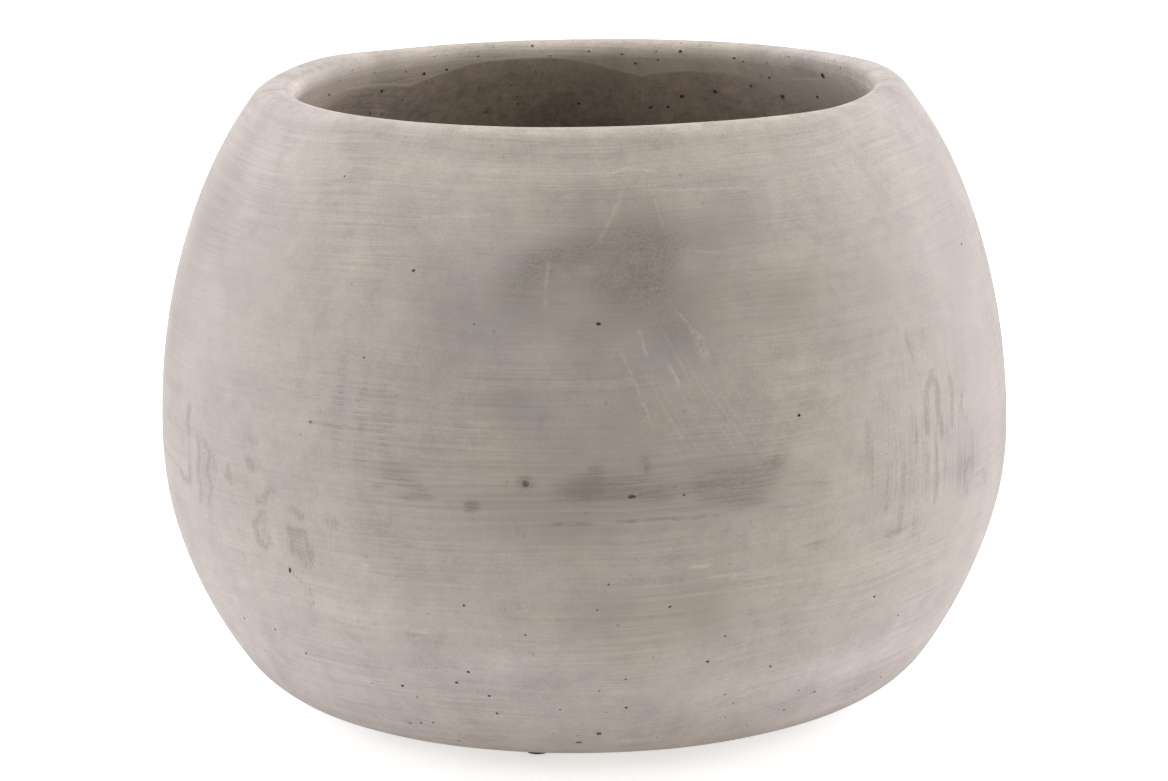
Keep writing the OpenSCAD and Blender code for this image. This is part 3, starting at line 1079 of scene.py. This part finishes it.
# %% Dark smears
# Each smear is (half width in mm, strength, [(azimuth, height in mm), ...]).
dark_smears = [
    (1.2, 0.8, [(-37.9, 130.8), (-39.6, 126), (-39.9, 120), (-39.8, 112)]),
    (1.2, 0.9, [(-37.9, 130.8), (-36.9, 126), (-37.2, 118), (-36.5, 110)]),
    (1.1, 0.6, [(-40.4, 108), (-40, 99)]), (1.3, 0.55, [(-42.2, 147), (-42, 142), (-41.2, 137)]),
    (1.2, 0.7, [(-33.6, 128), (-33.4, 122), (-34.1, 112)]),
    (1.1, 0.6, [(-30.5, 122), (-31.5, 116), (-29.9, 111)]),
    (1.2, 0.6, [(-38.2, 106), (-37.7, 98), (-38, 88)]), (1.1, 0.5, [(-42.7, 122), (-42.4, 110)]),
    (1.2, 0.35, [(-48.3, 132), (-48.3, 124)]), (1.0, 0.7, [(-51.1, 121), (-51, 112), (-50.9, 106)]),
    (1.0, 0.4, [(-50.9, 106), (-50.6, 98)]), (1.5, 0.4, [(-47.6, 105), (-47.9, 89)]),
    (1.8, 0.45, [(-44.7, 103), (-45.1, 92), (-45.3, 82)]),
    (1.3, 0.7, [(-47.5, 81), (-44.8, 80.6), (-45, 86)]), (1.3, 0.5, [(-42.2, 90), (-41.8, 78)]),
    (1.3, 0.4, [(-38.5, 145), (-38, 132.4)]), (1.1, 0.7, [(-29.3, 97.5), (-30.4, 93), (-29.2, 84)]),
    (1.0, 0.6, [(-26.5, 90.5), (-22.9, 90.2)]), (1.0, 0.5, [(-26.5, 86.5), (-22.3, 85.8)]),
    (1.6, 0.9, [(-154.6, 117), (-155.2, 113), (-154.6, 108)]),
    (1.1, 0.5, [(-154.4, 106), (-154.6, 98)]),
    (1.4, 0.8, [(-154.6, 97), (-154.8, 91.4), (-157.3, 90.6), (-158.6, 93)]),
    (1.1, 0.8, [(-151.6, 108), (-151.2, 102), (-151.8, 96), (-151.2, 91), (-151.9, 86)]),
    (1.1, 0.8, [(-149.6, 108), (-148.1, 104), (-149, 98), (-148, 93), (-148.9, 87)]),
    (1.1, 0.5, [(-147, 106), (-146.6, 99)]),
    (1.2, 0.8, [(-143.3, 102), (-143.6, 99), (-142.6, 97)]),
    (1.0, 0.5, [(-144.4, 98), (-142.8, 99)]), (1.5, 0.9, [(-138.8, 106.5), (-137.8, 104)]),
    (1.1, 0.4, [(-137.8, 105.5), (-135.2, 105.5)]), (1.2, 0.4, [(-138.5, 113.8), (-136.9, 113.2)]),
    (1.2, 0.8, [(-137, 93), (-136, 93.6), (-134.6, 98)]), (1.0, 0.6, [(-134.6, 98), (-132.6, 97)]),
    (1.3, 0.9, [(-136.4, 89), (-138.2, 84.5), (-138, 80), (-136.6, 77.5)]),
    (1.2, 0.7, [(-136.2, 88), (-136.4, 83), (-135.4, 79)]), (1.3, 0.8, [(-131, 93), (-129, 91)]),
    (1.5, 0.9, [(-131.4, 85), (-128.8, 85.2)]),
    (1.3, 0.8, [(-131.2, 84), (-131.4, 78), (-129.6, 77.6)]),
    (1.3, 0.8, [(-129, 84.6), (-128.2, 78), (-128.6, 73)]),
    (1.2, 0.6, [(-130.4, 77), (-129.4, 74)]),
    (1.1, 0.5, [(-132.2, 70), (-131, 68), (-129.5, 65.3), (-130.4, 62)]),
    (1.2, 0.5, [(-129.6, 65), (-129.4, 61), (-130.3, 57.5)]),
    (1.1, 0.5, [(-142.3, 72.7), (-141.8, 70)]), (1.9, 0.8, [(-124.8, 91), (-123.6, 91)]),
    (1.2, 0.6, [(-124.6, 88.5), (-124.4, 93)]), (1.5, 0.7, [(-82.9, 116), (-82.3, 112.8)]),
    (1.5, 0.35, [(-84.7, 75), (-77.4, 75)]),
    (1.2, 0.4, [(-98.9, 96.7), (-98.5, 93), (-97.1, 89.8)]),
    (1.1, 0.6, [(-114.9, 54.5), (-113.9, 53.4)]),
]
for _ in range(10):
    azimuth, height = behind.uniform(15, 165), behind.uniform(60, 140)
    end = (azimuth + behind.uniform(-1.5, 1.5), height - behind.uniform(5, 16))
    path = [(azimuth, height), end]
    dark_smears.append((behind.uniform(1, 1.6), behind.uniform(0.4, 0.8), path))
keep("smear", darkest_smear(dark_smears))

# %% Thin strokes, dark and pale
# A thin one is (width in mm, strength, path) and is drawn from its distance.
thin_strokes = [
    (1.2, 0.9, [(-93.4, 95.5), (-89.4, 95.5)]), (1.2, 1.0, [(-85.3, 95.9), (-79.1, 96.3)]),
    (1.1, 0.8, [(-77.6, 95.9), (-73, 96.3)]), (1.1, 0.7, [(-91.7, 109.9), (-81, 109.5)]),
    (1.1, 0.8, [(-90.5, 106.3), (-79, 106.7)]), (1.1, 0.6, [(-94, 103.5), (-86, 103.9)]),
    (1.1, 0.5, [(-63.3, 103.9), (-58.6, 103)]), (1.1, 0.4, [(-64.9, 96.7), (-62.3, 96.3)]),
    (1.1, 0.6, [(-126.9, 123.6), (-115.3, 123.6)]), (1.0, 0.4, [(-117.9, 117), (-111.8, 116)]),
    (1.1, 0.5, [(-118, 75), (-107.8, 74.7)]), (1.2, 0.3, [(-163.8, 49), (-151.5, 54)]),
    (1.2, 0.4, [(-81.6, 82), (-76, 82.5), (-70, 84)]),
    (1.2, 0.35, [(-100, 62), (-90, 61.5), (-78, 62.5)]), (1.2, 0.3, [(-76, 71), (-66, 72.5)]),
    (1.2, 0.35, [(-112, 52), (-98, 51)]),
]
pale_strokes = [
    (1.8, 0.5, [(-84.4, 197.6), (-87.3, 186)]), (0.9, 0.8, [(-79.1, 197.3), (-78.5, 190.5)]),
    (0.9, 0.7, [(-85.1, 205.6), (-83, 207), (-79.5, 206)]),
    (0.9, 0.6, [(-79.3, 200), (-64.8, 198.7)]), (1.5, 0.6, [(-94.7, 177.6), (-94.9, 167.5)]),
    (1.1, 0.7, [(-82.6, 156), (-82, 151)]), (1.2, 1.0, [(-78.7, 144.6), (-78.1, 141.5)]),
    (0.9, 0.6, [(-77.1, 161.4), (-74.2, 153.6), (-73.9, 150.5)]),
    (0.9, 0.6, [(-76.1, 158.3), (-74.8, 149.3)]),
    (0.9, 0.6, [(-84.9, 149), (-83.5, 140.7), (-81.8, 129)]),
    (1.8, 0.4, [(-105.2, 141), (-84.7, 141)]), (1.0, 0.5, [(-75.5, 181.4), (-71.2, 180)]),
    (1.0, 0.6, [(-112.5, 191.6), (-104.2, 193)]), (1.3, 0.5, [(-73.7, 75), (-61.7, 74.3)]),
    (1.1, 0.4, [(-76.7, 69), (-61.5, 70)]), (1.3, 1.0, [(-76.1, 79), (-75, 79)]),
    (1.2, 0.8, [(-113.3, 54.9), (-112.5, 54.9)]),
]
for name, drawings in (("thin", thin_strokes), ("pale", pale_strokes)):
    side, near = nearest_stroke(drawings)
    keep(name + "_side", side)
    keep(name + "_near", near)

# %% Painted light on the bare wall inside the lip, and a painted highlight on the lip's front edge
# Painted light: the bare wall inside the lip is lightened, most on the left and least on the right.
keep("inner", painted_inner_light(bowl_azimuth) * grow(bowl_distance, ends["lip top"] + 2 * MM, 7 * MM))
# Painted highlight: a thin band along the lip's inner edge, strongest at the front, is lightened.
front = bell(turned_by(bowl_azimuth, -90) / 60)
keep("edge", front * bell((bowl_distance - ends["lip top"] - 0.3 * MM) / (0.9 * MM)))

# %% How far the brush strokes climb
# Level strokes would look printed. Round the front's right they climb, and fall back behind.
degrees = np.degrees(bowl_azimuth)
rise = grow(degrees, -85, 75) - grow(degrees, -10, 130)
keep("climb", 20 * MM * rise * (0.35 + 0.65 * np.clip(1.2 - bowl_height / 110, 0, 1)))

# %% [markdown]
# ## Shared effects
#
# Brushed strokes, clouds and grain appear on more than one piece, so each is a node group with
# its own named inputs and outputs, built once and placed in each material with its own values.

# %% A group with named sockets
NUMBER, VECTOR = "NodeSocketFloat", "NodeSocketVector"


def new_group(name, inputs, outputs):
    """An empty node group and the sockets at its two ends. Inputs are (name, kind, default)."""
    group = bpy.data.node_groups.new(name, "ShaderNodeTree")
    for label, kind, default in inputs:
        socket = group.interface.new_socket(label, in_out="INPUT", socket_type=kind)
        if default is not None:
            socket.default_value = default
    for label in outputs:
        group.interface.new_socket(label, in_out="OUTPUT", socket_type=NUMBER)
    start, end = group.nodes.new("NodeGroupInput"), group.nodes.new("NodeGroupOutput")
    return group, start.outputs, end.inputs


def place_group(tree, group, inputs):
    """Puts a group into a material with its own values and returns its outputs."""
    return add_node(tree, "ShaderNodeGroup", inputs, node_tree=group).outputs


print("groups take named inputs")


# %% Noise, and the parts of a place
def noise(tree, place, scale, detail, roughness=0.5):
    """Noise from 0 to 1."""
    inputs = {"Vector": place, "Scale": scale, "Detail": detail, "Roughness": roughness}
    return add_node(tree, "ShaderNodeTexNoise", inputs).outputs["Fac"]


def parts_of(tree, place):
    """The X, Y and Z of a place."""
    return add_node(tree, "ShaderNodeSeparateXYZ", {0: place}).outputs


def place_of(tree, **parts):
    """A place made of its X, Y and Z, where each that isn't given is 0."""
    return add_node(tree, "ShaderNodeCombineXYZ", parts).outputs[0]


print("noise takes a scale, a detail and a roughness")

# %% Brushed strokes
strokes, given, result = new_group(
    "brushed_strokes",
    [
        ("Place", VECTOR, None),
        ("Climb", NUMBER, 0.0),
        ("Along", NUMBER, 8.0),
        ("Across", NUMBER, 500.0),
        ("Wander", NUMBER, 0.004),
    ],
    ["Tone"],
)
parts = parts_of(strokes, given["Place"])
shift = calc(strokes, "SUBTRACT", noise(strokes, given["Place"], 12.0, 1.0), 0.5)
height = layered(strokes, parts["Z"], (shift, given["Wander"]), (given["Climb"], -1.0))
squeezed = place_of(
    strokes,
    X=times(strokes, parts["X"], given["Along"]),
    Y=times(strokes, parts["Y"], given["Along"]),
    Z=times(strokes, height, given["Across"]),
)
lines = noise(strokes, squeezed, 1.0, 3.0, 0.65)
strokes.links.new(ramp(strokes, lines, 0.25, 0.75, -1.0, 1.0), result["Tone"])
print("brushed_strokes:", len(strokes.nodes), "nodes")

# %% Clouds
clouds, given, result = new_group(
    "clouds",
    [("Place", VECTOR, None), ("Size", NUMBER, 0.06), ("Seed", VECTOR, None)],
    ["Tone"],
)
both = {0: given["Place"], 1: given["Seed"]}
moved = add_node(clouds, "ShaderNodeVectorMath", both, operation="ADD").outputs[0]
puffs = noise(clouds, moved, calc(clouds, "DIVIDE", 1.0, given["Size"]), 4.0, 0.55)
clouds.links.new(ramp(clouds, puffs, 0.25, 0.75, -1.0, 1.0), result["Tone"])
print("clouds:", len(clouds.nodes), "nodes")

# %% Cement grain
grain, given, result = new_group(
    "cement_grain", [("Place", VECTOR, None), ("Size", NUMBER, 0.001)], ["Tone", "Specks"]
)
scale = calc(grain, "DIVIDE", 1.0, given["Size"])
sand = noise(grain, given["Place"], scale, 2.0, 0.7)
grain.links.new(ramp(grain, sand, 0.2, 0.8, -1.0, 1.0), result["Tone"])
inputs = {"Vector": given["Place"], "Scale": times(grain, scale, 0.25)}
cells = add_node(grain, "ShaderNodeTexVoronoi", inputs).outputs
speck_size = ramp(grain, parts_of(grain, cells["Color"])["X"], 0.85, 1.0, 0.0, 0.16)
grain.links.new(calc(grain, "LESS_THAN", cells["Distance"], speck_size), result["Specks"])
print("cement_grain:", len(grain.nodes), "nodes")

# %% A line drawn from its distance
line, given, result = new_group(
    "drawn_line",
    [("Place", VECTOR, None), ("Side", NUMBER, FAR_SIDE), ("Near", NUMBER, 0.0)],
    ["Mask"],
)
shaken = layered(line, -1.5, (noise(line, given["Place"], 300.0, 2.0), 3.0))
aside = calc(line, "ABSOLUTE", calc(line, "ADD", given["Side"], shaken))
whole = ramp(line, aside, 0.1, 1.7, 1.0, 0.0)
broken = ramp(line, noise(line, given["Place"], 260.0, 2.0), 0.38, 0.6, 0.35, 1.0)
mask = calc(line, "MULTIPLY", times(line, whole, broken), given["Near"], clamp=True)
line.links.new(mask, result["Mask"])
print("drawn_line:", len(line.nodes), "nodes")

# %% [markdown]
# ## The cement slip
#
# Cement slip dries to a warm grey with olive and lilac clouds in it, and every brush stroke
# leaves a slightly lighter or darker line. So the colour is built in layers: two greys mixed by
# clouds, then lightened and darkened by strokes and grain, with painted light inside the lip
# and a painted highlight on its edge, then the marks, then painted shade in the holes.

# %% Inputs of the slip
slip, tree = new_material("cement_slip")


def read(name, part="Fac"):
    """The value that the mesh keeps under a name."""
    return add_node(tree, "ShaderNodeAttribute", attribute_name=name).outputs[part]


wrapped, flat, body = read("wrapped", "Vector"), read("flat", "Vector"), object_place(tree)
flat_parts = parts_of(tree, flat)
climb = read("climb")
print("the slip reads", sum(n.type == "ATTRIBUTE" for n in tree.nodes), "attributes so far")


# %% Clouds, strokes and grain of the slip
def cloud(size, seed, place):
    """Soft clouds about as wide as a size in metres."""
    inputs = {"Place": place, "Size": size, "Seed": (seed, 0.0, 0.0)}
    return place_group(tree, clouds, inputs)["Tone"]


def brushed(place, along, across, wander, climb=0.0):
    """Strokes of the brush, long along the first two parts of a place and thin along the third."""
    inputs = {"Place": place, "Climb": climb, "Along": along, "Across": across, "Wander": wander}
    return place_group(tree, strokes, inputs)["Tone"]


hue = cloud(0.045, 1.0, body)
broad = cloud(0.09, 2.0, wrapped)
patchy = cloud(0.022, 3.0, wrapped)
powder = cloud(0.0045, 8.0, body)
flecked = cloud(0.01, 10.0, body)
crumbs = cloud(0.0012, 9.0, flat)
fine = brushed(wrapped, 14.0, 900.0, 0.008, climb)
medium = brushed(wrapped, 8.0, 330.0, 0.014, climb)
wide = brushed(wrapped, 5.0, 110.0, 0.028, climb)
scratchy = brushed(wrapped, 60.0, 1400.0, 0.004, climb)
worked = ramp(tree, cloud(0.05, 4.0, wrapped), -0.5, 0.8, 0.4, 1.0)
worked = times(tree, worked, layered(tree, 1.0, (read("calm"), -0.8)))
speckle = place_group(tree, grain, {"Place": body, "Size": 0.0009})
print("cement_slip:", len(tree.nodes), "nodes")


# %% Strokes at a slant
def slanted(degrees, along, across, wander):
    """Straight strokes at an angle on the unrolled bowl."""
    turn, slide = math.cos(math.radians(degrees)), math.sin(math.radians(degrees))
    forward = layered(tree, 0.0, (flat_parts["Y"], slide), (flat_parts["X"], turn))
    aside = layered(tree, 0.0, (flat_parts["X"], -slide), (flat_parts["Y"], turn))
    return brushed(place_of(tree, X=forward, Z=aside), along, across, wander)


fanned = slanted(-62.0, 18.0, 800.0, 0.014)
upright = slanted(90.0, 30.0, 900.0, 0.006)
combed = slanted(90.0, 90.0, 1300.0, 0.003)
print("cement_slip:", len(tree.nodes), "nodes")

# %% Imprint of cloth
THREAD_PITCH, COLUMN_PITCH = 1.95 * MM, 9 * MM
jitter = cloud(0.006, 5.0, flat)
thread = layered(tree, times(tree, jitter, 0.9), (flat_parts["Y"], TURN / THREAD_PITCH))
column = layered(tree, times(tree, patchy, 1.2), (flat_parts["X"], TURN / COLUMN_PITCH))
threads = ramp(tree, calc(tree, "SINE", thread), 0.0, 0.95)
between = ramp(tree, calc(tree, "SINE", times(tree, thread, 2.0)), 0.0, 0.95, 0.0, 0.85)
threads = calc(tree, "MAXIMUM", threads, between)
gaps = ramp(tree, calc(tree, "SINE", column), -0.7, 0.6, 0.3, 1.0)
cloth = times(tree, threads, gaps, ramp(tree, jitter, -0.6, 0.6, 0.2, 1.0), read("weave"))
print("cement_slip:", len(tree.nodes), "nodes")


# %% Tone of the slip
def drawn(name):
    """The thin lines that the mesh keeps under a name."""
    inputs = {"Place": flat, "Side": read(name + "_side"), "Near": read(name + "_near")}
    return place_group(tree, line, inputs)["Mask"]


sandy = speckle["Tone"]
uneven = layered(tree, 0.0, (patchy, 0.06), (flecked, 0.032), (powder, 0.04), (sandy, 0.07))
brushwork = layered(tree, 0.0, (wide, 0.035), (medium, 0.035), (fine, 0.082), (scratchy, 0.04))
tone = layered(tree, 1.0, (broad, 0.055), (uneven, read("rough")), (brushwork, worked))
mottle = layered(tree, 1.0, (patchy, 0.25), (flecked, 0.14), (powder, 0.22), (sandy, 0.55))
shade = times(tree, read("shade"), mottle)
pale = times(tree, read("pale"), layered(tree, 1.0, (wide, 0.35)))
tone = times(tree, tone, layered(tree, 1.0, (shade, -0.25)), layered(tree, 1.0, (pale, 0.16)))
fan = times(tree, read("fan"), ramp(tree, fanned, 0.05, 0.9))
board = times(tree, read("board"), ramp(tree, upright, -0.1, 0.9))
tone = layered(tree, tone, (fan, 0.09), (board, -0.14), (cloth, -0.21), (drawn("pale"), 0.28))
# Painted light inside the lip, and a painted highlight on the lip's front edge.
tone = layered(tree, tone, (read("inner"), 0.6), (read("edge"), 0.7))
print("cement_slip:", len(tree.nodes), "nodes")

# %% Colour of the slip
OLIVE_GREY = (0.43, 0.377, 0.321, 1)
LILAC_GREY = (0.42, 0.374, 0.36, 1)
# The olive and lilac mix also carries the painted sheen of the sides.
warm = layered(tree, read("tint"), (hue, 0.22), (medium, 0.2), (flecked, 0.25), (patchy, 0.1))
lit = brighten(tree, blend(tree, ramp(tree, warm, -1.4, 1.4), LILAC_GREY, OLIVE_GREY), tone)
print("cement_slip:", len(tree.nodes), "nodes")

# %% Rubbed spots, smears and thin lines
RUBBED = (0.52, 0.485, 0.435, 1)
stain, smear = read("stain"), read("smear")
streaky = layered(tree, stain, (scratchy, 0.45), (medium, 0.15), (crumbs, 0.15))
rubbed = times(tree, ramp(tree, streaky, 0.0, 1.15), ramp(tree, stain, 0.0, 0.4))
blurred = layered(tree, smear, (crumbs, 0.25), (combed, 0.35), (scratchy, 0.15))
smudge = times(tree, ramp(tree, blurred, 0.0, 1.0), ramp(tree, smear, 0.02, 0.4))
worn = times(tree, rubbed, 0.6)
for value, amount in ((smudge, 0.45), (drawn("thin"), 0.5)):
    worn = calc(tree, "MAXIMUM", worn, times(tree, value, amount))
lit = blend(tree, worn, lit, RUBBED, "MULTIPLY")
print("cement_slip:", len(tree.nodes), "nodes")

# %% Specks, and painted shade in the holes
SPECK = (0.2, 0.17, 0.15, 1)
HOLE_PAINTED_SHADE = (0.11, 0.095, 0.08, 1)
lit = blend(tree, times(tree, speckle["Specks"], 0.3), lit, SPECK)
# Painted shade: the insides of the holes are darkened in the colour.
lit = blend(tree, ramp(tree, read("hollow"), 0.1, 1.0, 0.0, 0.8), lit, HOLE_PAINTED_SHADE)
print("cement_slip:", len(tree.nodes), "nodes")


# %% Relief and gloss of the slip
def bumped(height, strength):
    """The normals of a surface with a fine relief."""
    inputs = {"Height": height, "Strength": strength, "Distance": 0.5 * MM}
    return add_node(tree, "ShaderNodeBump", inputs).outputs["Normal"]


relief = layered(tree, 0.0, (brushwork, 8.0), (sandy, 0.35), (worn, -0.8))
rough = ramp(tree, layered(tree, worn, (patchy, 0.5)), -0.5, 1.0, 0.95, 0.78)
gloss = {"Roughness": rough, "Specular IOR Level": 0.2}
finish_with(tree, {"Base Color": lit, **gloss, "Normal": bumped(relief, 0.14)})
bowl_piece.data.materials.append(slip)
print("cement_slip:", len(tree.nodes), "nodes")

# %% [markdown]
# ## The sealing coat's finish
#
# A sealing slurry dries darker and denser than the concrete, with the bristles' ridges in it:
# round the wall, and straight across the floor. Where it was laid on thinly at its edge, the
# bare wall's colour shows through.

# %% Clouds, ridges and grain of the coat
sealer, tree = new_material("brushed_sealer")
wrapped, body = read("wrapped", "Vector"), object_place(tree)
broad = cloud(0.05, 6.0, body)
blotchy = cloud(0.014, 7.0, body)
mottled = cloud(0.0035, 11.0, body)
body_parts = parts_of(tree, body)
over_floor = place_of(tree, X=body_parts["X"], Z=body_parts["Y"])
on_wall, on_floor = (brushed(place, 20.0, 400.0, 0.01) for place in (wrapped, over_floor))
level = read("level")
wall_ridges = times(tree, on_wall, calc(tree, "SUBTRACT", 1.0, level))
ridges = layered(tree, wall_ridges, (on_floor, level))
sandy = place_group(tree, grain, {"Place": body, "Size": 0.0012})["Tone"]
print("brushed_sealer:", len(tree.nodes), "nodes")

# %% Coat material
COAT_LILAC, COAT_OLIVE = (0.4, 0.335, 0.29, 1), (0.4, 0.338, 0.272, 1)
BARE_WALL = (0.428, 0.377, 0.335)
COAT_HOLE_PAINTED_SHADE = (0.06, 0.05, 0.042, 1)
tone = layered(tree, 1.17, (broad, 0.1), (blotchy, 0.17), (mottled, 0.13), (ridges, 0.05))
# The coat is darkened where "deep" says: painted shade down in the bowl.
tone = layered(tree, tone, (sandy, 0.16), (read("deep"), -0.46))
colour = blend(tree, ramp(tree, broad, -0.8, 0.8), COAT_LILAC, COAT_OLIVE)
# Where the coat is thin the bare wall shows, lightened by the same painted light as inside the lip.
wall_tone = layered(tree, 1.0, (read("wall"), 0.47), (blotchy, 0.07))
thick = ramp(tree, layered(tree, read("laid"), (blotchy, 0.25)), 0.05, 1.0, 0.04, 1.0)
lit = blend(tree, thick, brighten(tree, BARE_WALL, wall_tone), brighten(tree, colour, tone))
# Painted shade: the insides of the coat's holes are darkened in the colour.
lit = blend(tree, ramp(tree, read("hollow"), 0.1, 1.0, 0.0, 0.9), lit, COAT_HOLE_PAINTED_SHADE)
finish_with(tree, {"Base Color": lit, "Roughness": 0.72, "Normal": bumped(ridges, 0.16)})
coat_piece.data.materials.append(sealer)
print("brushed_sealer:", len(tree.nodes), "nodes")

# %% [markdown]
# ## The pads' finish
#
# The pads are die-cut from black rubber, which takes up a little dust, and the adhesive discs
# have yellowed unevenly. Both are small plain pieces, so the frame's own shapes are kept and
# only get a finish: two colours, mixed by small clouds.


# %% Pads and their adhesive
def clouded(name, size, span, first, second, roughness):
    """A finish of two colours, mixed by clouds of a size."""
    made, tree = new_material(name)
    mottle = place_group(tree, clouds, {"Place": object_place(tree), "Size": size})["Tone"]
    colour = blend(tree, ramp(tree, mottle, *span), first, second)
    finish_with(tree, {"Base Color": colour, "Roughness": roughness})
    return made


RUBBER_BLACK, DUST = (0.02, 0.02, 0.02, 1), (0.12, 0.11, 0.1, 1)
AGED_GLUE, PALE_GLUE = (0.62, 0.58, 0.46, 1), (0.7, 0.68, 0.6, 1)
finishes = {
    "foot_pad": clouded("pad_rubber", 2 * MM, (0.0, 1.0, 0.0, 0.35), RUBBER_BLACK, DUST, 0.75),
    "pad_adhesive": clouded("pad_adhesive", 1.5 * MM, (-1.0, 1.0), AGED_GLUE, PALE_GLUE, 0.35),
}
for name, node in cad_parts.items():
    for start, finish in finishes.items():
        if name.startswith(start):
            node.data.materials.clear()
            node.data.materials.append(finish)
print("pads and adhesive finished")
